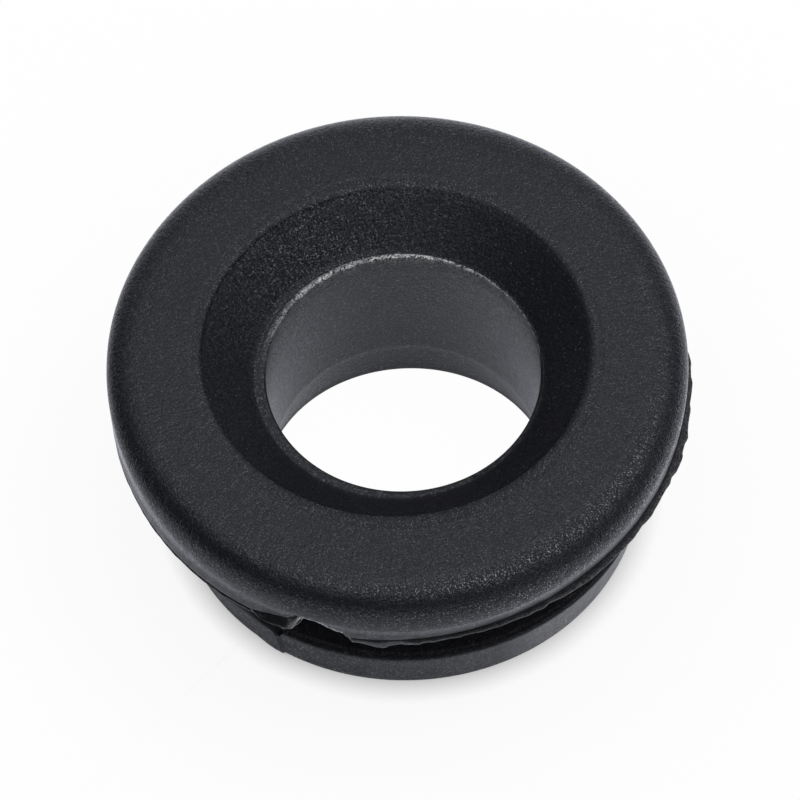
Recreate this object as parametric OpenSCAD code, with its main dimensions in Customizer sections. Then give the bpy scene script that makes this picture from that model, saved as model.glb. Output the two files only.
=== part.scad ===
// Moulded rubber grommet: a thick round head with a sunk funnel mouth, a straight through bore,
// a deep panel groove and a tapered foot flange. Two mould halves met a little off centre, which
// leaves a ledge and a thin ragged fin at the seam round the head. At the front left the seam is
// torn: a notch, a hanging flap and a nib, with a squeezed-out skin on the foot's side.
// Origin: centre of the bore at the underside of the foot. Z runs up to the head, -Y is the front.
// Lengths are in millimetres, angles in degrees.

/* [Head] */
// Outside diameter of the head
head_d = 40; // [34:0.5:48]
// Height of the whole grommet
total_h = 17.7; // [15:0.1:24]
// How far the rounded shoulder reaches in from the side
shoulder_in = 2.1; // [0.8:0.1:2.6]
// How far the rounded shoulder reaches down from the top
shoulder_down = 1.9; // [0.8:0.1:2.4]
// Bulge of the side of the head between shoulder and seam
side_bulge = 0.12; // [0.02:0.02:0.4]
// Height of the seam above the underside of the foot
seam_z = 13; // [11.5:0.1:13.4]

/* [Funnel mouth] */
// Diameter at the top of the funnel
funnel_d = 26.9; // [24:0.1:29]
// Diameter at the bottom of the funnel
funnel_foot_d = 20; // [19.4:0.1:21.5]
// Depth of the funnel below the top face
funnel_depth = 2.6; // [1.5:0.1:3]
// Rounding of the upper edge of the funnel
funnel_round = 1.4; // [0.4:0.1:2]

/* [Bore] */
// Diameter of the straight bore
bore_d = 19; // [16:0.1:19.2]
// Diameter where the bore opens out at the underside
bore_foot_d = 19.9; // [19.4:0.1:22]
// Height of the opened-out part of the bore
bore_foot_h = 3.5; // [1:0.1:5]
// Rounding of the lip at the top of the bore
lip_round = 0.2; // [0.1:0.05:0.4]

/* [Panel groove] */
// Diameter of the neck inside the groove
neck_d = 27; // [24:0.1:29]
// Height of the groove's upper wall above the underside of the foot
groove_top_z = 12.3; // [10.5:0.1:12.6]
// Fillet between the neck and the walls of the groove
neck_fillet = 0.6; // [0.2:0.1:1.2]

/* [Foot flange] */
// Diameter of the foot at its underside
foot_bottom_d = 31.8; // [29:0.1:34]
// Diameter of the foot at its upper edge
foot_top_d = 33.4; // [31:0.1:36]
// Height of the foot flange
foot_h = 4.4; // [3:0.1:5.5]
// Rounding of the foot's edges
foot_round = 0.25; // [0.1:0.05:0.6]

/* [Mould mismatch] */
// Sideways offset of the upper mould half, towards -X
half_shift = 0.38; // [0.1:0.02:0.8]
// Rounding of the ledge below the seam
ledge_round = 0.2; // [0.05:0.05:0.3]

/* [Seam fin] */
// How far the fin stands out from the side of the head
fin_out = 0.12; // [0.05:0.01:0.4]
// Depth of the ragged waves along the fin
fin_ragged = 0.06; // [0:0.01:0.12]
// Thickness of the fin
fin_thick = 0.26; // [0.15:0.01:0.5]

/* [Torn notch] */
// Direction of the notch's highest point, seen from above
notch_angle = -111; // [-130:0.5:-60]
// Height of the notch above the seam
notch_rise = 1.35; // [0.4:0.05:1.8]
// Length of the steep side of the notch
notch_steep = 0.95; // [0.6:0.05:3]
// Length of the sloping side of the notch
notch_slope = 3; // [1.5:0.1:6]
// How deep the notch cuts in from the side of the head
notch_depth = 2.4; // [1:0.1:4]

/* [Seam nib] */
// Direction of the small nib past the sloping side of the notch, seen from above
nib_angle = -96.5; // [-110:0.5:-50]
// How far the nib hangs below the seam
nib_drop = 1; // [0.8:0.05:1.6]
// Length of the nib along the seam
nib_length = 3.4; // [1:0.1:6]
// Thickness of the nib
nib_thick = 0.5; // [0.3:0.05:1]

/* [Hanging flap] */
// Direction of the flap's middle, seen from above
flap_angle = -117.6; // [-140:0.5:-115]
// Length of the flap along the seam
flap_length = 2.9; // [1:0.1:5]
// How far the flap hangs below the seam
flap_drop = 1.5; // [0.8:0.1:2.2]
// Thickness of the flap
flap_thick = 0.55; // [0.3:0.05:1]

/* [Foot skin] */
// Direction of the torn end of the squeezed-out skin, seen from above
skin_end_angle = -127; // [-140:0.5:-120]
// How far round the skin reaches from its torn end
skin_sweep = 44; // [10:1:70]
// How far the skin stands out from the foot
skin_out = 0.22; // [0.05:0.01:0.5]
// How far the skin stands up above the foot's upper edge
skin_up = 1.1; // [0.3:0.1:2.5]
// Thickness of the upstanding skin
skin_thick = 0.6; // [0.4:0.05:1.2]
// Slant of the torn end along the foot, from underside to upper edge
skin_slant = 1; // [0.2:0.1:3]

/* [Hidden] */
$fn = 96;
head_r = head_d / 2;
bore_r = bore_d / 2;
bore_foot_r = bore_foot_d / 2;
neck_r = neck_d / 2;
foot_bottom_r = foot_bottom_d / 2;
foot_top_r = foot_top_d / 2;
funnel_r = funnel_d / 2;
funnel_foot_r = funnel_foot_d / 2;
lip_z = total_h - funnel_depth;
shoulder_z = total_h - shoulder_down;
// The upper half starts a hair below the seam, so that both halves share some rubber.
seam_lap = 0.1;
// Steepness of the funnel wall, measured from the flat top face.
funnel_slope = atan2(funnel_depth, funnel_r - funnel_foot_r);
// Length that the funnel's edge rounding takes from each of the two faces it joins.
funnel_tangent = funnel_round * tan(funnel_slope / 2);
over = 1;

// Points of an arc with two half axes, from one angle to another.
function arc(cx, cz, rx, rz, from, to, steps) =
    [for (i = [0:steps]) let (a = from + (to - from) * i / steps) [cx + rx * cos(a), cz + rz * sin(a)]];

// Radius of the fin's ragged edge in one direction, seen from the middle of the two halves.
function fin_radius(a) =
    head_r + half_shift / 2 * abs(cos(a)) + fin_out
    + fin_ragged * (0.5 * sin(11 * a + 40) + 0.3 * sin(23 * a) + 0.2 * sin(47 * a + 15));

// Puts a shape drawn as seen from outside (along the side, up) at one direction, running outwards.
module facing(angle, radius) {
    rotate([0, 0, angle])
        translate([radius, 0, 0])
            rotate([90, 0, 90])
                children();
}

// Bends a small drawn shape to the side of the head, with its thickness measured inwards.
module side_scrap(angle, thick) {
    translate([-half_shift, 0, 0])
        intersection() {
            difference() {
                translate([0, 0, foot_h])
                    cylinder(r = head_r + fin_out, h = total_h - foot_h);
                cylinder(r = head_r - thick, h = total_h + over);
            }
            facing(angle, head_r - thick - over)
                linear_extrude(height = thick + 3 * over)
                    children();
        }
}

// Upper mould half: flat top, rounded shoulder and slightly bulging side.
module head_half() {
    translate([-half_shift, 0, 0])
        rotate_extrude()
            polygon(concat(
                [[0, seam_z - seam_lap], [head_r - side_bulge, seam_z - seam_lap]],
                arc(head_r - side_bulge, (seam_z + shoulder_z) / 2, side_bulge,
                    (shoulder_z - seam_z) / 2, -90, 0, 5),
                arc(head_r - shoulder_in, shoulder_z, shoulder_in, shoulder_down, 0, 90, 14),
                [[0, total_h]]
            ));
}

// Lower mould half: tapered foot, filleted neck and the ledge that carries the seam.
module foot_half() {
    rotate_extrude()
        polygon(concat(
            [[0, 0]],
            arc(foot_bottom_r - foot_round, foot_round, foot_round, foot_round, -90, 0, 4),
            arc(foot_top_r - foot_round, foot_h - foot_round, foot_round, foot_round, 0, 90, 4),
            arc(neck_r + neck_fillet, foot_h + neck_fillet, neck_fillet, neck_fillet, -90, -180, 5),
            arc(neck_r + neck_fillet, groove_top_z - neck_fillet, neck_fillet, neck_fillet, 180, 90, 5),
            arc(head_r - ledge_round, groove_top_z + ledge_round, ledge_round, ledge_round, -90, 0, 4),
            [[head_r, seam_z], [0, seam_z]]
        ));
}

// Funnel mouth, cut on the axis of the upper half, with a rounded upper edge.
module funnel_cut() {
    translate([-half_shift, 0, 0])
        rotate_extrude()
            polygon(concat(
                [[0, lip_z], [funnel_foot_r, lip_z]],
                arc(funnel_r + funnel_tangent, total_h - funnel_round, funnel_round, funnel_round,
                    90 + funnel_slope, 90, 6),
                [[funnel_r + funnel_tangent, total_h + over], [0, total_h + over]]
            ));
}

// Bore, cut on the axis of the lower half: opened out at the foot, straight up to a rounded lip.
module bore_cut() {
    rotate_extrude()
        polygon(concat(
            [[0, -over], [bore_foot_r, -over], [bore_foot_r, 0], [bore_r, bore_foot_h]],
            arc(bore_r + lip_round, lip_z - lip_round, lip_round, lip_round, 180, 90, 4),
            [[bore_r + lip_round, lip_z + over / 10], [0, lip_z + over / 10]]
        ));
}

// Thin ragged fin that follows both halves round the seam.
module seam_fin() {
    translate([-half_shift / 2, 0, seam_z - fin_thick * 0.7])
        linear_extrude(height = fin_thick)
            difference() {
                polygon([for (i = [0:143]) let (a = i * 2.5) fin_radius(a) * [cos(a), sin(a)]]);
                circle(r = head_r - 1);
            }
}

// Notch torn out of the ledge and the foot of the head's side: steep on the left, sloping to
// the right.
module notch_cut() {
    translate([-half_shift, 0, 0])
        facing(notch_angle, head_r - notch_depth)
            linear_extrude(height = notch_depth + over)
                polygon([
                    [-notch_steep, groove_top_z - over],
                    [-notch_steep, seam_z + notch_rise * 0.3],
                    [-notch_steep * 0.6, seam_z + notch_rise * 0.9],
                    [0, seam_z + notch_rise],
                    [notch_slope * 0.25, seam_z + notch_rise * 0.9],
                    [notch_slope * 0.6, seam_z + notch_rise * 0.35],
                    [notch_slope, seam_z - 0.2],
                    [notch_slope, groove_top_z - over]
                ]);
}

// Small pointed nib of rubber that hangs from the seam past the sloping side of the notch.
module seam_nib() {
    side_scrap(nib_angle, nib_thick)
        polygon([
            [-nib_length * 0.6, seam_z - 0.1],
            [-nib_length * 0.25, groove_top_z - 0.05],
            [0, seam_z - nib_drop],
            [nib_length * 0.2, groove_top_z - 0.05],
            [nib_length * 0.4, seam_z - 0.1]
        ]);
}

// Flap that hangs from the seam on the steep side of the notch.
module hanging_flap() {
    side_scrap(flap_angle, flap_thick)
        polygon([
            [-flap_length * 0.5, seam_z + 0.2],
            [-flap_length * 0.44, groove_top_z + 0.15],
            [-flap_length * 0.1, seam_z - flap_drop * 0.9],
            [flap_length * 0.25, seam_z - flap_drop],
            [flap_length * 0.46, groove_top_z + 0.1],
            [flap_length * 0.5, seam_z + 0.2]
        ]);
}

// Skin squeezed out over the foot's side and upper edge, with a slanted torn end.
module foot_skin() {
    difference() {
        rotate([0, 0, skin_end_angle - skin_sweep])
            rotate_extrude(angle = skin_sweep + 8)
                polygon([
                    [foot_bottom_r - foot_round, 0.05],
                    [foot_bottom_r + skin_out, foot_round],
                    [foot_top_r + skin_out, foot_h],
                    [foot_top_r + skin_out, foot_h + skin_up - 0.1],
                    [foot_top_r + skin_out - 0.1, foot_h + skin_up],
                    [foot_top_r + skin_out - skin_thick, foot_h + skin_up],
                    [foot_top_r + skin_out - skin_thick, foot_h - 0.6]
                ]);
        facing(skin_end_angle, foot_bottom_r - 2)
            linear_extrude(height = 6)
                polygon([
                    [skin_slant * 0.6, -over],
                    [-skin_slant * 0.4, foot_h + 0.15],
                    [-skin_slant * 3, foot_h + skin_up + over],
                    [6, foot_h + skin_up + over],
                    [6, -over]
                ]);
    }
}

// The whole grommet, moulded in one shot.
module grommet() {
    color([0.05, 0.05, 0.055])
        difference() {
            union() {
                difference() {
                    union() {
                        head_half();
                        foot_half();
                        seam_fin();
                    }
                    notch_cut();
                }
                seam_nib();
                hanging_flap();
                foot_skin();
            }
            funnel_cut();
            bore_cut();
        }
}

grommet();
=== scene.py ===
"""Moulded rubber grommet on a white floor, seen from the front and above.

All shapes are written in millimetres and put into the mesh in metres. The axis of the bore is the
Z axis, the underside of the foot lies on the floor, and the front of the grommet faces -Y.
"""
import math

import bpy
import numpy as np
from mathutils import Matrix, Vector


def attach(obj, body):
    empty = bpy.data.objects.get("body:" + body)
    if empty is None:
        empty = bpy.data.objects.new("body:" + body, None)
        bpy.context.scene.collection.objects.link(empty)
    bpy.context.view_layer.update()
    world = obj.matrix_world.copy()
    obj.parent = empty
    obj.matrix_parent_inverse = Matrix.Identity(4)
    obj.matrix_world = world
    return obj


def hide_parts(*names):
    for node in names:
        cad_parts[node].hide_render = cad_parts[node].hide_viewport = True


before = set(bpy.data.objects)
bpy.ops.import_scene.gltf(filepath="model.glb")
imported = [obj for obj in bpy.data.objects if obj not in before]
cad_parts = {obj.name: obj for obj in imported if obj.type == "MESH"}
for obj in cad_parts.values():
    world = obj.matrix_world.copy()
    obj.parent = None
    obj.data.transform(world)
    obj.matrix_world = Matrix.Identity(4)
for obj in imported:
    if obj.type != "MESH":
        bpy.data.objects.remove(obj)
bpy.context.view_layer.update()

MM = 0.001
DOME_R = 1.2

# Sizes of the grommet, as in the part's source
HEAD_R = 20.03
TOP_Z = 17.7
SHOULDER_IN = 2.1
SHOULDER_DOWN = 1.9
SEAM_Z = 13.0
FUNNEL_R = 13.53
FUNNEL_ROUND = 0.9
FUNNEL_FOOT_R = 10.0
LIP_Z = 15.1
BORE_R = 9.5
BORE_FOOT_R = 9.95
BORE_FOOT_H = 3.5
LEDGE_R = 19.78
NECK_R = 13.5
GROOVE_TOP_Z = 12.3
FOOT_TOP_R = 16.75
FOOT_BOTTOM_R = 16.0
FOOT_H = 4.4

# Offsets of the upper mould half and of its funnel pin from the bore's axis
UPPER_LEFT = 0.37
UPPER_BACK = 0.10
FUNNEL_LEFT = 0.44
FUNNEL_BACK = 0.36
FUNNEL_FOOT_LEFT = 0.30
FUNNEL_FOOT_BACK = -0.12


def smooth(low, high, x):
    """Smooth step: 0 below low, 1 above high, with t*t*(3-2t) between, where t runs from low to high."""
    t = np.clip((x - low) / (high - low), 0.0, 1.0)
    return t * t * (3.0 - 2.0 * t)


def bump_at(centre, width, x):
    """Bell curve: e to the minus square of the distance from centre, divided by width."""
    return np.exp(-((x - centre) / width) ** 2)


def eased(x, stops, values):
    """Values joined between stops with smooth steps, so that each stop is a rest point."""
    stops = np.asarray(stops, float)
    values = np.asarray(values, float)
    i = np.clip(np.searchsorted(stops, x) - 1, 0, len(stops) - 2)
    t = np.clip((x - stops[i]) / (stops[i + 1] - stops[i]), 0.0, 1.0)
    t = 0.5 * t + 0.5 * t * t * (3.0 - 2.0 * t)
    return values[i] + (values[i + 1] - values[i]) * t


def ragged(azimuth, step, seed):
    """Smooth random wave round the grommet: random heights every step degrees, joined by cosines."""
    count = int(round(360.0 / step))
    heights = np.random.default_rng(seed).uniform(-1.0, 1.0, count)
    place = np.mod(azimuth, 360.0) / step
    i = np.floor(place).astype(int)
    t = 0.5 - 0.5 * np.cos(math.pi * (place - i))
    return heights[i % count] * (1.0 - t) + heights[(i + 1) % count] * t


def arc(centre_r, centre_z, radius_r, radius_z, start, end, count):
    """Points on an ellipse: centre plus (radius_r cos a, radius_z sin a) for a from start to end."""
    a = np.radians(np.linspace(start, end, count))
    return np.stack([centre_r + radius_r * np.cos(a), centre_z + radius_z * np.sin(a)], -1)


def line(r0, z0, r1, z1, count):
    """Evenly spaced points on a straight line, without its last point."""
    t = np.linspace(0.0, 1.0, count, endpoint=False)[:, None]
    return np.array([r0, z0]) * (1.0 - t) + np.array([r1, z1]) * t


# Looks of the skin: strength of the grain, roughness, and a pale tone that is partly scuffs and partly painted
# highlights
BORE_SKIN = (0.32, 0.25, 0.0)
LAND_SKIN = (0.8, 0.28, 0.0)
FUNNEL_SKIN = (1.0, 0.24, 0.0)
TOP_SKIN = (0.55, 0.22, 0.0)
FOOT_SKIN = (0.3, 0.58, 0.0)


def azimuths():
    """Directions of the columns: about every 0.74 degrees, and every 0.2 degrees along the torn seam."""
    fine = np.arange(-131.0, -90.0, 0.2)
    rest = np.linspace(-90.0, 229.0, 430, endpoint=False)
    return np.concatenate([fine, rest])


def grommet_grid(az):
    """The grommet's skin as a closed profile carried round the bore.

    Row i is the profile at direction az[i]. Each profile point has a radius, a height, the centre
    that the radius starts from, and the look of the skin there: strength of the grain, roughness and
    a pale tone, partly scuffs and partly painted highlights. x = r cos(az) - left and y = r sin(az) + back.
    """
    n = len(az)
    parts = []

    def add(r, z, centre, surface):
        values = [np.atleast_2d(v) for v in (r, z, *centre, *surface)]
        shape = (n, max(v.shape[1] for v in values))
        parts.append([np.broadcast_to(v, shape) for v in values])

    def add_points(points, centre, surface):
        add(points[:, 0][None, :], points[:, 1][None, :], centre, surface)

    axis = (0.0, 0.0)
    upper = (UPPER_LEFT, UPPER_BACK)
    funnel_top = (FUNNEL_LEFT, FUNNEL_BACK)
    funnel_foot = (FUNNEL_FOOT_LEFT, FUNNEL_FOOT_BACK)
    col = az[:, None]
    cos_a = np.cos(np.radians(col))
    sin_a = np.sin(np.radians(col))
    # The same directions counted so that the front and the whole left side follow one another
    front = np.where(col > 90.0, col - 360.0, col)

    # Bore: a small rounded mouth below, the opened-out foot, the straight wall and the lip
    foot_r = BORE_FOOT_R + 0.35 * cos_a ** 2 - 0.22 * bump_at(90.0, 60.0, col)
    mouth = arc(0.15, 0.15, 0.15, 0.15, -90, -180, 4)
    add(foot_r + mouth[:, 0], mouth[:, 1] + 0 * foot_r, axis, BORE_SKIN)
    t = np.linspace(0.0, 1.0, 7)[None, :]
    add(foot_r + (BORE_R + 0.03 - foot_r) * t, 0.4 + (BORE_FOOT_H - 0.52) * t, axis, BORE_SKIN)
    add_points(np.array([[BORE_R + 0.012, BORE_FOOT_H - 0.04], [BORE_R, BORE_FOOT_H + 0.06]]), axis, BORE_SKIN)
    add_points(line(BORE_R, BORE_FOOT_H + 0.5, BORE_R, LIP_Z - 0.32, 10), axis, BORE_SKIN)
    # Painted highlight, partly real scuffing: the lip's rounding and its edge are painted pale, most at the back
    # where the lip catches the light.
    scuff_and_highlight = eased(np.mod(col, 360.0), [0, 8, 40, 85, 125, 150, 168, 185, 360], [0, 0.25, 0.6, 1.1, 1.1, 0.5, 0.1, 0, 0])
    scuff_and_highlight = scuff_and_highlight * (0.8 + 0.3 * ragged(col, 1.8, 21))
    add_points(arc(BORE_R + 0.2, LIP_Z - 0.2, 0.2, 0.2, 180, 90, 6), axis, (0.8, 0.4 + 0.2 * bump_at(-90.0, 60.0, front), scuff_and_highlight * np.array([[0.3, 0.8, 1.0, 1.0, 0.9, 0.7]])))
    add(BORE_R + 0.34, LIP_Z, axis, (0.8, 0.34, 0.45 * scuff_and_highlight))
    # Land round the lip, a thin crescent because the funnel pin stood off the axis
    add(FUNNEL_FOOT_R - 0.14, LIP_Z, (0.6 * funnel_foot[0], 0.6 * funnel_foot[1]), LAND_SKIN)
    slope = math.degrees(math.atan2(TOP_Z - LIP_Z, FUNNEL_R - FUNNEL_FOOT_R))
    root = 0.25 * math.tan(math.radians(slope / 2))
    add_points(arc(FUNNEL_FOOT_R - root, LIP_Z + 0.25, 0.25, 0.25, -90, -90 + slope, 4), funnel_foot, FUNNEL_SKIN)
    edge = FUNNEL_ROUND - 0.45 * bump_at(185.0, 38.0, np.mod(col, 360.0))
    tangent = edge * math.tan(math.radians(slope / 2))
    rise = TOP_Z - LIP_Z
    run = FUNNEL_R - FUNNEL_FOOT_R
    t = 0.09 + (0.88 - tangent / math.hypot(rise, run)) * np.linspace(0.0, 1.0, 11)[None, :]
    wall_centre = [a + (b - a) * t for a, b in zip(funnel_foot, funnel_top)]
    add(FUNNEL_FOOT_R + run * t, LIP_Z + rise * t, wall_centre, (0.9 + 1.2 * bump_at(130.0, 42.0, col) + 0.6 * bump_at(-90.0, 50.0, front), 0.24, 0.0))
    turn = arc(0.0, 0.0, 1.0, 1.0, 90 + slope, 90, 8)
    add(FUNNEL_R + tangent + edge * turn[:, 0], TOP_Z + edge * (turn[:, 1] - 1.0), funnel_top, FUNNEL_SKIN)
    # Top face and rounded shoulder: the soft head is slightly oval, with a longer slope at the back
    rim_r = HEAD_R + 0.55 * sin_a ** 2
    inward = SHOULDER_IN - 0.15 + 0.4 * sin_a ** 2 + 0.6 * bump_at(70.0, 62.0, col) + 0.3 * bump_at(-175.0, 38.0, front) - 0.5 * bump_at(-90.0, 40.0, front)
    t = np.linspace(0.0, 1.0, 9)[None, :-1]
    lifted = bump_at(-112.0, 38.0, np.where(col > 68.0, col - 360.0, col))
    for out, high in ((0.10, 0.010), (0.20, 0.014), (0.32, 0.008)):
        add(FUNNEL_R + tangent + out, TOP_Z + high * lifted, funnel_top, FUNNEL_SKIN)
    inner_r = FUNNEL_R + tangent + 0.6
    top_centre = [a + (b - a) * t for a, b in zip(funnel_top, upper)]
    add(inner_r + (rim_r - inward - 0.2 - inner_r) * t, TOP_Z, top_centre, TOP_SKIN)
    down = SHOULDER_DOWN - 0.15 + 0.85 * bump_at(-90.0, 42.0, front) + 0.3 * bump_at(-135.0, 22.0, front) - 0.5 * bump_at(-185.0, 30.0, front)
    turn = arc(0.0, 0.0, 1.0, 1.0, 90, 0, 19)
    calm = bump_at(-107.0, 46.0, front)
    low = np.linspace(0.0, 1.0, 19)[None, :] ** 3
    add(rim_r - inward + inward * turn[:, 0], TOP_Z - down + down * turn[:, 1], upper,
        ((0.85 + 0.8 * bump_at(-58.0, 42.0, front) + 0.15 * bump_at(-95.0, 32.0, front)) * (1.0 - 0.6 * calm * low), 0.20 + 0.2 * calm * low, 0.0))

    # Torn seam: how far the seam is lifted, and where the lower edge hangs
    lift = eased(col, [-180, -122.5, -120, -117.5, -114.4, -113.5, -112.7, -111.9, -110, -108.3, -106.6, -104.8, -103.4, -102.2, -101, 180],
                 [0, 0, 0.2, 0.45, 0.65, 1.1, 1.75, 2.0, 1.95, 1.65, 1.32, 1.0, 0.7, 0.08, 0, 0])
    right = smooth(-0.2, 0.75, cos_a)
    slit = bump_at(-125.5, 4.5, col)
    thick = 0.24 + 0.14 * right + 0.10 * slit
    hang = eased(col, [-180, -122, -120, -116, -114.2, -113.6, -113.0, -112.4, -111.6, -110, -108.3, -106.6, -104.8, -103.4, -102.2, -99.7, -97.3, -96.3, -95.3, -93, -88, -80, 180],
                 [0, 0, -0.15, -0.2, -0.15, 0.3, 1.0, 1.5, 1.72, 1.7, 1.42, 1.1, 0.8, 0.5, -0.22, -0.3, -0.55, -0.7, -0.5, -0.3, -0.15, 0, 0])
    edge_z = SEAM_Z - thick + hang
    torn = smooth(0.1, 0.6, lift)
    # Side of the head: from the shoulder down to the seam, drawn in a little at its lower edge
    t = np.linspace(0.0, 1.0, 12)[None, 1:-1]
    side_top = TOP_Z - down
    seam = SEAM_Z + lift
    side_z = side_top + (seam + 0.05 - side_top) * t
    tuck = 0.06 + 0.55 * bump_at(-62.0, 46.0, front)
    side_r = rim_r - tuck * t ** 1.3 - 0.13 * torn * bump_at(1.0, 0.35, t)
    turned = smooth(0.15, 0.6, t)
    # Painted highlight, partly paler torn rubber: where the seam is torn, the bottom of the side is painted pale.
    add(side_r, side_z, upper, ((1.0 - 0.75 * turned) * (1.0 - 0.65 * calm), 0.22 + 0.18 * calm + 0.20 * turned,
                                 0.4 * torn * bump_at(1.0, 0.16, t)))
    # Crease under the side, then the ledge of the lower half with its ragged fin
    upper_edge = rim_r - tuck - UPPER_LEFT * cos_a + UPPER_BACK * sin_a
    lower_edge = LEDGE_R + 0.36 * bump_at(-95.0, 25.0, col) + 0.22 * bump_at(4.0, 12.0, col) + 0.15 * bump_at(-17.0, 9.0, col) + 0.08 * ragged(col, 1.6, 3) + 0.03 * ragged(col, 5.0, 4)
    inner = np.minimum(upper_edge, lower_edge) - 0.05 - 0.08 * bump_at(-90.0, 20.0, front)
    outer = np.where(upper_edge > lower_edge, upper_edge - 0.02 + 0.03 * ragged(col, 1.6, 3), lower_edge)
    flap = smooth(-122.3, -120.8, col) * (1.0 - smooth(-115.6, -113.4, col))
    outer = outer - 0.07 * torn * (1.0 - flap) + 0.16 * flap
    inner = inner - 0.22 * slit - 0.1 * flap
    crease_z = np.maximum(seam - 0.05, edge_z + 0.06)
    tall = np.maximum(crease_z - edge_z, 0.06)
    wide = np.maximum(outer - inner, 0.06)
    add(inner, crease_z, axis, FOOT_SKIN)
    # The flap is a thin lip that slopes outwards, the rest a rounded edge
    ledge_r = (1.0 - flap) * np.array([[0.35, 0.72, 0.93, 1.0, 1.0, 0.97, 0.86]]) \
        + flap * np.array([[0.12, 0.34, 0.60, 0.86, 0.97, 1.0, 0.93]])
    ledge_z = (1.0 - flap) * np.array([[0.97, 0.93, 0.80, 0.60, 0.34, 0.12, 0.01]]) \
        + flap * np.array([[0.86, 0.66, 0.46, 0.28, 0.17, 0.08, 0.0]])
    # Painted highlight, partly paler torn rubber: the ledge's torn edge is painted pale, and on the right a thin
    # painted highlight runs along the ledge's upper edge.
    torn_pale_and_lit = torn * (0.3 * (1.0 - flap) + 0.45 * smooth(-113.6, -112.2, col))
    pale_edge = torn_pale_and_lit * bump_at(0.3, 0.4, ledge_z) + 0.12 * right * bump_at(0.8, 0.16, ledge_z)
    add(inner + wide * ledge_r, edge_z + tall * ledge_z, axis, (0.35, 0.46 - 0.1 * flap, pale_edge))
    # Underside of the head, lifted behind the notch, back to the neck
    roof = GROOVE_TOP_Z + (edge_z - GROOVE_TOP_Z) * np.maximum(torn, 0.15)
    add(inner - 0.35, edge_z * 0.5 + np.maximum(roof, GROOVE_TOP_Z) * 0.5, axis, FOOT_SKIN)
    add(inner - 1.2, roof, axis, FOOT_SKIN)
    add(inner - 2.1, roof, axis, FOOT_SKIN)
    add_points(np.array([[17.2, GROOVE_TOP_Z], [15.5, GROOVE_TOP_Z]]), axis, FOOT_SKIN)
    fillet = 0.6
    add_points(arc(NECK_R + fillet, GROOVE_TOP_Z - fillet, fillet, fillet, 90, 180, 5), axis, FOOT_SKIN)
    add_points(line(NECK_R, 10.0, NECK_R, FOOT_H + fillet + 0.4, 3), axis, FOOT_SKIN)
    add_points(arc(NECK_R + fillet, FOOT_H + fillet, fillet, fillet, 180, 270, 5), axis, FOOT_SKIN)

    foot_skin = (0.35, eased(front, [-270, -115, -90, -72, -57, -40, 90], [0.68, 0.68, 0.58, 0.48, 0.29, 0.34, 0.4]), 0.0)
    # Foot: its upper edge carries the squeezed-out skin on the left and a small nick beside the tear
    skin_top = eased(front, [-270, -176, -165, -147, -138, -133, -129, -127.3, -126.6, 90],
                     [4.4, 4.4, 5.2, 5.6, 5.4, 4.95, 4.6, 4.5, 4.4, 4.4])
    nick = 0.8 * bump_at(-124.4, 1.0, col) + 0.12 * bump_at(-121.5, 0.7, col)
    top_z = skin_top - nick + 0.02 * ragged(col, 3.0, 8)

    def skin(z):
        """How far the skin stands off the foot: 0 right of its torn line, thicker high up on the left."""
        tear = -124.7 - 2.2 * smooth(3.7, 5.2, z)
        cover = (1.0 - smooth(-0.35, 0.1, front - tear)) * smooth(-178.0, -160.0, front)
        return cover * (0.14 * smooth(-134.0, -127.0, front) + 0.3 * smooth(-126.0, -150.0, front) * smooth(1.5, 4.5, z))

    # The foot is a little wider to the left and right than to the front and back
    wider = 0.45 * cos_a ** 2
    add(15.3, FOOT_H, axis, (0.3, 0.5, 0.015))
    add(FOOT_TOP_R - 0.65 + wider, FOOT_H - nick * 0.6, axis, (0.3, 0.5, 0.015))
    add(FOOT_TOP_R - 0.55 + wider, top_z - 0.1 * smooth(4.4, 4.8, skin_top), axis, (0.3, 0.5, 0.05))
    for dr, dz, pale_edge in ((-0.44, 0.0, 0.05), (-0.28, 0.0, 0.02), (-0.12, -0.03, 0.0), (-0.03, -0.12, 0.0)):
        add(FOOT_TOP_R + dr + wider + skin(top_z), top_z + dz, axis, (foot_skin[0], foot_skin[1], pale_edge))
    t = np.linspace(0.0, 1.0, 16)[None, 1:-1]
    z = top_z - 0.2 + (0.3 - top_z + 0.2) * t
    r = FOOT_BOTTOM_R + wider + (FOOT_TOP_R - FOOT_BOTTOM_R) * np.minimum(z / FOOT_H, 1.05)
    ridge = 0.09 * bump_at(0.0, 0.35, front + 125.0 + 2.2 * smooth(3.7, 5.2, z))
    add(r + skin(z) + ridge, z, axis, foot_skin)
    a = np.radians(np.linspace(0, -90, 5))[None, :]
    add(FOOT_BOTTOM_R + wider - 0.2 + 0.2 * np.cos(a) + skin(0.2), 0.2 + 0.2 * np.sin(a), axis, FOOT_SKIN)
    add_points(line(15.0, 0.0, BORE_FOOT_R + 0.6, 0.0, 4), axis, FOOT_SKIN)

    r, z, left, back, grain, matte, pale = (np.concatenate([p[k] for p in parts], axis=1) for k in range(7))
    x = r * cos_a - left
    y = r * sin_a + back
    points = np.stack([x, y, z], -1)
    mid = points[0]
    along = np.concatenate([[0.0], np.cumsum(np.linalg.norm(np.diff(mid, axis=0), axis=1))])
    return points, np.broadcast_to(along[None, :], r.shape), {"grain": grain, "matte": matte, "pale": pale}


def closed_faces(rows, columns):
    """Quads of a grid that closes in both directions: corners (i, j), (i+1, j), (i+1, j+1), (i, j+1)."""
    i, j = np.meshgrid(np.arange(rows), np.arange(columns), indexing="ij")
    i, j = i.ravel(), j.ravel()
    i1, j1 = (i + 1) % rows, (j + 1) % columns
    return np.stack([i * columns + j, i1 * columns + j, i1 * columns + j1, i * columns + j1], -1)


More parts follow.
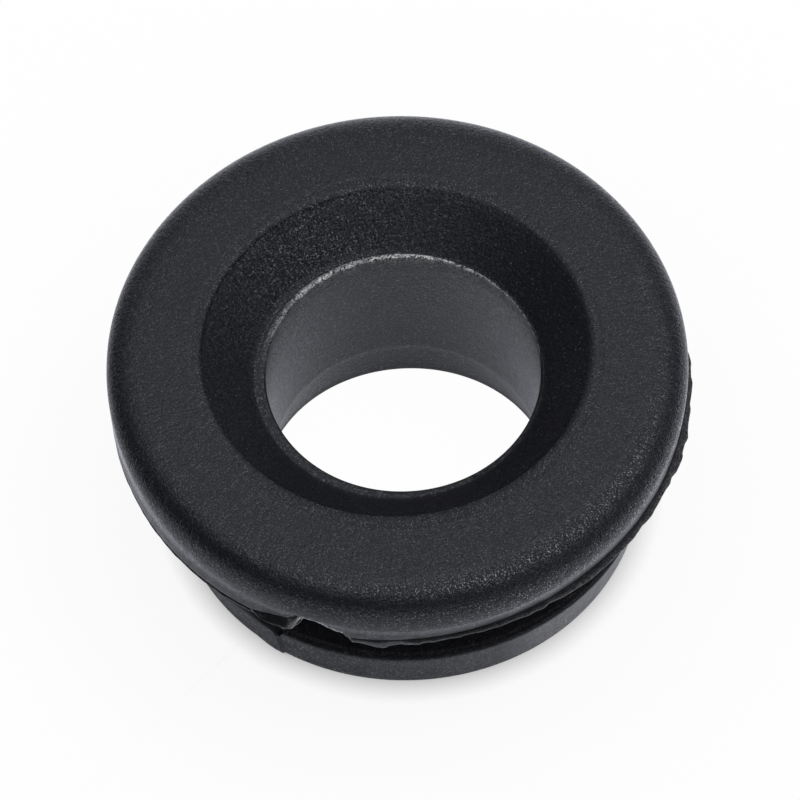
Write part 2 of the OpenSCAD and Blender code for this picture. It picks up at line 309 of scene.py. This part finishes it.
def thread(path, radius, sides=8):
    """A thin strand of rubber: a round section carried along a path, drawn in at both ends.

    The path's corners are (direction, radius, height), joined by a smooth curve through them. Each
    ring is curve + width * (across cos a + up sin a), where across and up stand on the curve.
    """
    path = np.asarray(path, float)
    turn = np.radians(path[:, 0])
    path = np.stack([path[:, 1] * np.cos(turn), path[:, 1] * np.sin(turn), path[:, 2]], -1)
    steps = 8 * (len(path) - 1) + 1
    s = np.linspace(0, len(path) - 1, steps)
    i = np.clip(s.astype(int), 0, len(path) - 2)
    t = (s - i)[:, None]
    before = path[np.clip(i - 1, 0, None)]
    after = path[np.clip(i + 2, None, len(path) - 1)]
    a, b = path[i], path[i + 1]
    curve = 0.5 * ((2 * a) + (b - before) * t + (2 * before - 5 * a + 4 * b - after) * t ** 2
                   + (3 * a - before - 3 * b + after) * t ** 3)
    ahead = np.gradient(curve, axis=0)
    ahead /= np.linalg.norm(ahead, axis=1)[:, None]
    across = np.cross(ahead, [0.21, 0.13, 0.97])
    across /= np.linalg.norm(across, axis=1)[:, None]
    up = np.cross(across, ahead)
    ang = np.linspace(0, 2 * math.pi, sides, endpoint=False)
    width = radius * np.sqrt(np.clip(np.minimum(s, len(path) - 1 - s) * 2.2 + 0.05, 0.05, 1.0))
    ring = across[:, None, :] * np.cos(ang)[None, :, None] + up[:, None, :] * np.sin(ang)[None, :, None]
    points = curve[:, None, :] + ring * width[:, None, None]
    k, m = np.meshgrid(np.arange(steps - 1), np.arange(sides), indexing="ij")
    k, m = k.ravel(), m.ravel()
    m1 = (m + 1) % sides
    quads = np.stack([k * sides + m, (k + 1) * sides + m, (k + 1) * sides + m1, k * sides + m1], -1)
    ends = [list(range(sides)), [(steps - 1) * sides + q for q in range(sides)][::-1]]
    return points.reshape(-1, 3), quads.tolist() + ends


def make_mesh(name, points, faces, wrap, looks):
    """A mesh object in metres at the origin, smooth shaded, with the pattern's attributes on its points."""
    mesh = bpy.data.meshes.new(name)
    mesh.from_pydata((points * MM).tolist(), [], faces)
    mesh.polygons.foreach_set("use_smooth", np.ones(len(faces), bool))
    mesh.attributes.new("wrap", "FLOAT_VECTOR", "POINT").data.foreach_set("vector", wrap.ravel())
    for key, values in looks.items():
        mesh.attributes.new(key, "FLOAT", "POINT").data.foreach_set("value", values.ravel())
    mesh.validate()
    piece = bpy.data.objects.new(name, mesh)
    bpy.context.scene.collection.objects.link(piece)
    return piece


class Value:
    """A shader socket that can be used in sums: each operator adds one Math node."""

    def __init__(self, tree, socket):
        self.tree = tree
        self.socket = socket

    def _math(self, operation, *terms, clamp=False):
        node = self.tree.nodes.new("ShaderNodeMath")
        node.operation = operation
        node.use_clamp = clamp
        for slot, term in zip(node.inputs, terms):
            if isinstance(term, Value):
                self.tree.links.new(term.socket, slot)
            else:
                slot.default_value = term
        return Value(self.tree, node.outputs[0])

    def __add__(self, other):
        return self._math("ADD", self, other)

    def __radd__(self, other):
        return self._math("ADD", other, self)

    def __sub__(self, other):
        return self._math("SUBTRACT", self, other)

    def __rsub__(self, other):
        return self._math("SUBTRACT", other, self)

    def __mul__(self, other):
        return self._math("MULTIPLY", self, other)

    def __rmul__(self, other):
        return self._math("MULTIPLY", other, self)

    def __truediv__(self, other):
        return self._math("DIVIDE", self, other)

    def __pow__(self, other):
        return self._math("POWER", self, other)

    def above(self, low, high):
        """0 below low, 1 above high, a straight ramp between."""
        return self._math("MULTIPLY", self - low, 1.0 / (high - low), clamp=True)


class Recipe:
    """Builds a material's nodes: make() adds any node from its type, settings and inputs."""

    def __init__(self, name):
        self.material = bpy.data.materials.new(name)
        self.material.use_nodes = True
        self.tree = self.material.node_tree
        self.tree.nodes.clear()

    def make(self, kind, settings=None, inputs=None, output=0):
        node = self.tree.nodes.new(kind)
        for key, value in (settings or {}).items():
            setattr(node, key, value)
        for key, value in (inputs or {}).items():
            socket = node.inputs[key]
            if isinstance(value, Value):
                self.tree.links.new(value.socket, socket)
            else:
                socket.default_value = value
        return Value(self.tree, node.outputs[output])

    def noise(self, place, scale, detail=2.0, roughness=0.5, distortion=0.0):
        return self.make("ShaderNodeTexNoise", {"noise_dimensions": "3D"},
                         {"Vector": place, "Scale": scale, "Detail": detail, "Roughness": roughness,
                          "Distortion": distortion})

    def stretched(self, place, scale):
        return self.make("ShaderNodeMapping", {"vector_type": "POINT"}, {"Vector": place, "Scale": scale})

    def mix_colour(self, share, first, second):
        node = self.tree.nodes.new("ShaderNodeMix")
        node.data_type = "RGBA"
        for key, value in ((0, share), (6, first), (7, second)):
            if isinstance(value, Value):
                self.tree.links.new(value.socket, node.inputs[key])
            else:
                node.inputs[key].default_value = value
        return Value(self.tree, node.outputs[2])

    def finish(self, shader):
        out = self.tree.nodes.new("ShaderNodeOutputMaterial")
        self.tree.links.new(shader.socket, out.inputs["Surface"])
        return self.material


def black_rubber():
    """Near-black moulded rubber: fine leather-like grain from the mould, tiny light specks, soft sheen."""
    m = Recipe("black_rubber")
    place = m.make("ShaderNodeTexCoord", output=3)
    wrap = m.make("ShaderNodeAttribute", {"attribute_name": "wrap"}, output=1)
    grain = m.make("ShaderNodeAttribute", {"attribute_name": "grain"}, output=2)
    matte = m.make("ShaderNodeAttribute", {"attribute_name": "matte"}, output=2)
    pale = m.make("ShaderNodeAttribute", {"attribute_name": "pale"}, output=2)
    # Short strokes that run down the shoulder and the funnel, about 0.25 by 0.6 mm
    strokes = m.noise(m.stretched(wrap, (1.0, 1.0, 0.42)), 3.6, 3.0, 0.55, 0.6)
    # Even grain of about 0.2 mm, and finer tooth
    leather = m.noise(place, 4200.0, 3.0, 0.6, 0.3)
    tooth = m.noise(place, 9500.0, 2.0, 0.5)
    broad = m.noise(place, 160.0, 2.0, 0.5)
    pits = m.make("ShaderNodeTexVoronoi", {"feature": "F1"}, {"Vector": place, "Scale": 1500.0}, 0)
    specks = m.noise(place, 6500.0, 1.0, 0.5).above(0.68, 0.76)
    mottle = m.noise(place, 1100.0, 2.0, 0.5)
    height = strokes * grain * 1.2 + leather * (grain * 0.5 + 0.35) + tooth * (grain * 0.4 + 0.25) + mottle * 0.3
    height = height - (1.0 - pits.above(0.0, 0.16)) * 0.3
    normal = m.make("ShaderNodeBump", None, {"Strength": 0.9, "Distance": 0.00007, "Height": height})
    shade = (leather * 0.5 + tooth * 0.3 + broad * 0.2).above(0.25, 0.75)
    colour = m.mix_colour(shade, (0.0035, 0.0037, 0.0050, 1.0), (0.0065, 0.0070, 0.0090, 1.0))
    colour = m.mix_colour(specks * 0.4, colour, (0.10, 0.105, 0.115, 1.0))
    # Pale patches from the 'pale' attribute: partly real scuffs, partly painted highlights on the lip, the torn edges
    # and the ledge.
    scuff_and_highlight_mask = pale * (leather * 2.0 + tooth * 4.0 - 2.4).above(0.1, 1.1)
    colour = m.mix_colour(scuff_and_highlight_mask, colour, (0.60, 0.605, 0.62, 1.0))
    # Small places that shine more than their surroundings
    shine = (leather * 0.05 + strokes * 0.2 + tooth * 0.75).above(0.54, 0.66) ** 1.3 * (0.55 + grain * 1.7)
    rough = matte - 0.06 + broad * 0.05 + (mottle - 0.5) * matte * 0.4
    shader = m.make("ShaderNodeBsdfPrincipled", None, {
        "Base Color": colour, "Roughness": rough, "Normal": normal, "IOR": 1.36,
        "Coat Weight": shine, "Coat Roughness": 0.25, "Coat IOR": 1.5,
        "Specular IOR Level": 0.5, "Specular Tint": (0.96, 0.97, 1.0, 1.0)})
    return m.finish(shader)


def white_floor():
    """Plain white floor with the grommet's soft shadow.

    It is a diffuse sheet, lifted to white for the camera and less for reflections. Ambient occlusion
    holds the lift back near the grommet as a painted contact shadow; inside the bore's radius it is not held back, a
    painted pool of light.
    """
    m = Recipe("white_floor")
    path = m.make("ShaderNodeLightPath")
    camera, glossy, through = (Value(m.tree, path.socket.node.outputs[key])
                               for key in ("Is Camera Ray", "Is Glossy Ray", "Is Transmission Ray"))
    # Painted contact shadow: ambient occlusion lowers the lift near the grommet, for the camera and, wider, in
    # reflections.
    near = m.make("ShaderNodeAmbientOcclusion", {"samples": 8}, {"Distance": 0.0018}, output=1)
    place = m.make("ShaderNodeTexCoord", output=3)
    # Painted light: inside the bore's radius the camera's lift is kept near white, with no contact shadow.
    middle = 1.0 - m.make("ShaderNodeVectorMath", {"operation": "LENGTH"}, {0: place}, output=1).above(0.0115, 0.0125)
    touch = (1.0 - near) * (1.0 - middle) * 1.05
    wide = m.make("ShaderNodeAmbientOcclusion", {"samples": 8}, {"Distance": 0.004}, output=1)
    lifted = (camera * (0.90 + middle * 0.08) * (1.0 - touch)).above(0.0, 1.0)
    lifted = lifted + (glossy + through) * wide * 0.75
    diffuse = m.make("ShaderNodeBsdfDiffuse", None, {"Color": (0.9, 0.9, 0.9, 1.0)})
    colour = m.mix_colour(camera, (0.93, 0.96, 1.08, 1.0), (1.0, 1.0, 1.0, 1.0))
    glow = m.make("ShaderNodeEmission", None, {"Color": colour, "Strength": 1.0})
    return m.finish(m.make("ShaderNodeMixShader", None, {0: lifted, 1: diffuse, 2: glow}))


def dome_glow():
    """The studio that the gloss shows: brightest above and a little to the right, dim at the horizon.

    Brightness = 0.05 + 2.4 c^6 + 1.05 b^4 h, where c is the cosine of the angle from the
    lamp's direction, b is how far a place lies to the back and h is how high it stands.
    """
    m = Recipe("dome_glow")
    place = m.make("ShaderNodeTexCoord", output=3)
    x, y, z = (m.make("ShaderNodeSeparateXYZ", None, {"Vector": place}, output=k) * (1.0 / DOME_R) for k in range(3))
    c = (x * 0.17 + y * 0.06 + z * 0.983).above(0.0, 1.0)
    b = y.above(0.0, 1.0)
    h = 0.2 + z.above(0.0, 0.45) * 0.8
    glow = 0.05 + c ** 6.0 * 2.4 + b ** 4.0 * h * 1.05
    colour = m.make("ShaderNodeCombineColor", None, {"Red": glow * 0.97, "Green": glow * 0.98, "Blue": glow * 1.06})
    m.material.cycles.emission_sampling = "NONE"
    return m.finish(m.make("ShaderNodeEmission", None, {"Color": colour, "Strength": 1.0}))


# The grommet: one skin, with the loose strands of the tear on it
az = azimuths()
points, along, looks = grommet_grid(az)
rows, columns = points.shape[:2]
wrap = np.stack([HEAD_R * np.cos(np.radians(az))[:, None] + 0 * along,
                 HEAD_R * np.sin(np.radians(az))[:, None] + 0 * along, along], -1)
points, wrap = points.reshape(-1, 3), wrap.reshape(-1, 3)
looks = {key: values.ravel() for key, values in looks.items()}
faces = closed_faces(rows, columns).tolist()
strands = [
    # A curl from the flap up to the torn edge
    ([(-115.0, 20.28, 12.65), (-113.9, 19.95, 12.7), (-113.1, 19.6, 12.95), (-112.7, 19.65, 13.6), (-112.3, 19.95, 14.5)],
     0.075, 0.25),
    # A strand that still bridges the end of the slit
    ([(-123.1, 20.25, 13.15), (-122.7, 20.3, 12.95), (-122.2, 20.25, 12.8), (-121.6, 20.15, 12.76)], 0.05, 0.20),
    # A loose curl under the flap
    ([(-116.8, 20.2, 12.64), (-116.4, 20.25, 12.25), (-115.8, 20.2, 12.2), (-115.4, 20.1, 12.66)], 0.055, 0.30)]
# The third value of each strand paints it pale, partly paler torn rubber and partly a painted highlight.
for path, radius, scuff_and_highlight in strands:
    more, quads = thread(path, radius)
    faces += [[k + len(points) for k in quad] for quad in quads]
    points, wrap = np.concatenate([points, more]), np.concatenate([wrap, more])
    for key, value in (("grain", 0.3), ("matte", 0.4), ("pale", scuff_and_highlight)):
        looks[key] = np.concatenate([looks[key], np.full(len(more), value)])
grommet = make_mesh("grommet_skin", points, faces, wrap, looks)
rubber = black_rubber()
grommet.data.materials.append(rubber)
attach(grommet, "root")
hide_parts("grommet")


def sheet(name, size, height, material):
    """A square sheet at one height, for the floor."""
    h = size / 2
    mesh = bpy.data.meshes.new(name)
    mesh.from_pydata([(-h, -h, height), (h, -h, height), (h, h, height), (-h, h, height)], [], [(0, 1, 2, 3)])
    piece = bpy.data.objects.new(name, mesh)
    bpy.context.scene.collection.objects.link(piece)
    mesh.materials.append(material)
    return piece


floor = sheet("floor", 40.0, 0.0, white_floor())


def studio_dome(name, radius, material):
    """Half a sphere over the table: radius times (cos e cos a, cos e sin a, sin e) for e from 0 to 90 degrees.

    Only reflections see it, so that the gloss of the rubber shows a studio with a bright ceiling.
    """
    e = np.radians(np.linspace(0.0, 89.0, 40))[:, None]
    a = np.radians(np.linspace(0.0, 360.0, 96, endpoint=False))[None, :]
    shell = radius * np.stack([np.cos(e) * np.cos(a), np.cos(e) * np.sin(a), np.sin(e) + 0 * a], -1)
    i, j = np.meshgrid(np.arange(39), np.arange(96), indexing="ij")
    i, j = i.ravel(), j.ravel()
    quads = np.stack([i * 96 + j, (i + 1) * 96 + j, (i + 1) * 96 + (j + 1) % 96, i * 96 + (j + 1) % 96], -1)
    top = [[39 * 96 + k for k in range(96)][::-1]]
    mesh = bpy.data.meshes.new(name)
    mesh.from_pydata(shell.reshape(-1, 3).tolist(), [], quads.tolist() + top)
    piece = bpy.data.objects.new(name, mesh)
    bpy.context.scene.collection.objects.link(piece)
    mesh.materials.append(material)
    piece.visible_camera = False
    piece.visible_diffuse = False
    piece.visible_shadow = False
    return piece


studio_dome("studio_dome", DOME_R, dome_glow())

# Studio light: a large soft box above, and a pale world
scene = bpy.context.scene
world = bpy.data.worlds.new("studio")
world.use_nodes = True
scene.world = world
tree = world.node_tree
tree.nodes.clear()
path = tree.nodes.new("ShaderNodeLightPath")
pale = tree.nodes.new("ShaderNodeBackground")
pale.inputs["Color"].default_value = (1.0, 1.0, 1.0, 1.0)
pale.inputs["Strength"].default_value = 0.85
white = tree.nodes.new("ShaderNodeBackground")
white.inputs["Color"].default_value = (1.0, 1.0, 1.0, 1.0)
white.inputs["Strength"].default_value = 1.0
seen = Value(tree, path.outputs["Is Camera Ray"]) + Value(tree, path.outputs["Is Glossy Ray"]) \
    + Value(tree, path.outputs["Is Transmission Ray"])
both = tree.nodes.new("ShaderNodeMixShader")
out = tree.nodes.new("ShaderNodeOutputWorld")
tree.links.new(seen.above(0.0, 1.0).socket, both.inputs[0])
tree.links.new(pale.outputs[0], both.inputs[1])
tree.links.new(white.outputs[0], both.inputs[2])
tree.links.new(both.outputs[0], out.inputs["Surface"])


def soft_box(name, place, target, width, depth, power):
    """A rectangular area lamp at a place, facing a target."""
    light = bpy.data.lights.new(name, "AREA")
    light.shape = "RECTANGLE"
    light.size = width
    light.size_y = depth
    light.energy = power
    lamp = bpy.data.objects.new(name, light)
    aim = np.asarray(target, float) - np.asarray(place, float)
    lamp.rotation_euler = Vector(aim).to_track_quat("-Z", "Y").to_euler()
    lamp.location = place
    lamp.visible_glossy = False
    scene.collection.objects.link(lamp)
    return lamp


soft_box("soft_box_right", (0.32, 0.04, 1.10), (0, 0, 0), 0.6, 0.6, 3.4)


def photo_camera():
    """Long-lens camera in front of and above the grommet.

    It stands 395 mm from the origin at 59 degrees above the floor, looks a little above the origin,
    and is rolled so that the right side stands higher.
    """
    distance, elevation, focal_px = 0.395, math.radians(59.0), 5538.0
    turn = math.atan(4.37 / focal_px)
    tip = math.atan(85.0 / focal_px)
    roll = math.radians(-2.71)
    place = np.array([0, -math.cos(elevation), math.sin(elevation)]) * distance
    ahead = np.array([0, math.cos(elevation), -math.sin(elevation)])
    up = np.array([0, math.sin(elevation), math.cos(elevation)])
    side = np.array([1.0, 0, 0])
    ahead, side = ahead * math.cos(turn) - side * math.sin(turn), side * math.cos(turn) + ahead * math.sin(turn)
    ahead, up = ahead * math.cos(tip) + up * math.sin(tip), up * math.cos(tip) - ahead * math.sin(tip)
    side, up = side * math.cos(roll) + up * math.sin(roll), up * math.cos(roll) - side * math.sin(roll)
    data = bpy.data.cameras.new("camera")
    data.sensor_width = 36.0
    data.lens = focal_px / 800.0 * 36.0
    data.clip_start = 0.01
    data.clip_end = 100.0
    camera = bpy.data.objects.new("camera", data)
    camera.matrix_world = Matrix([[side[k], up[k], -ahead[k], place[k]] for k in range(3)] + [[0, 0, 0, 1]])
    scene.collection.objects.link(camera)
    return camera


scene.camera = photo_camera()
scene.view_settings.view_transform = "Standard"
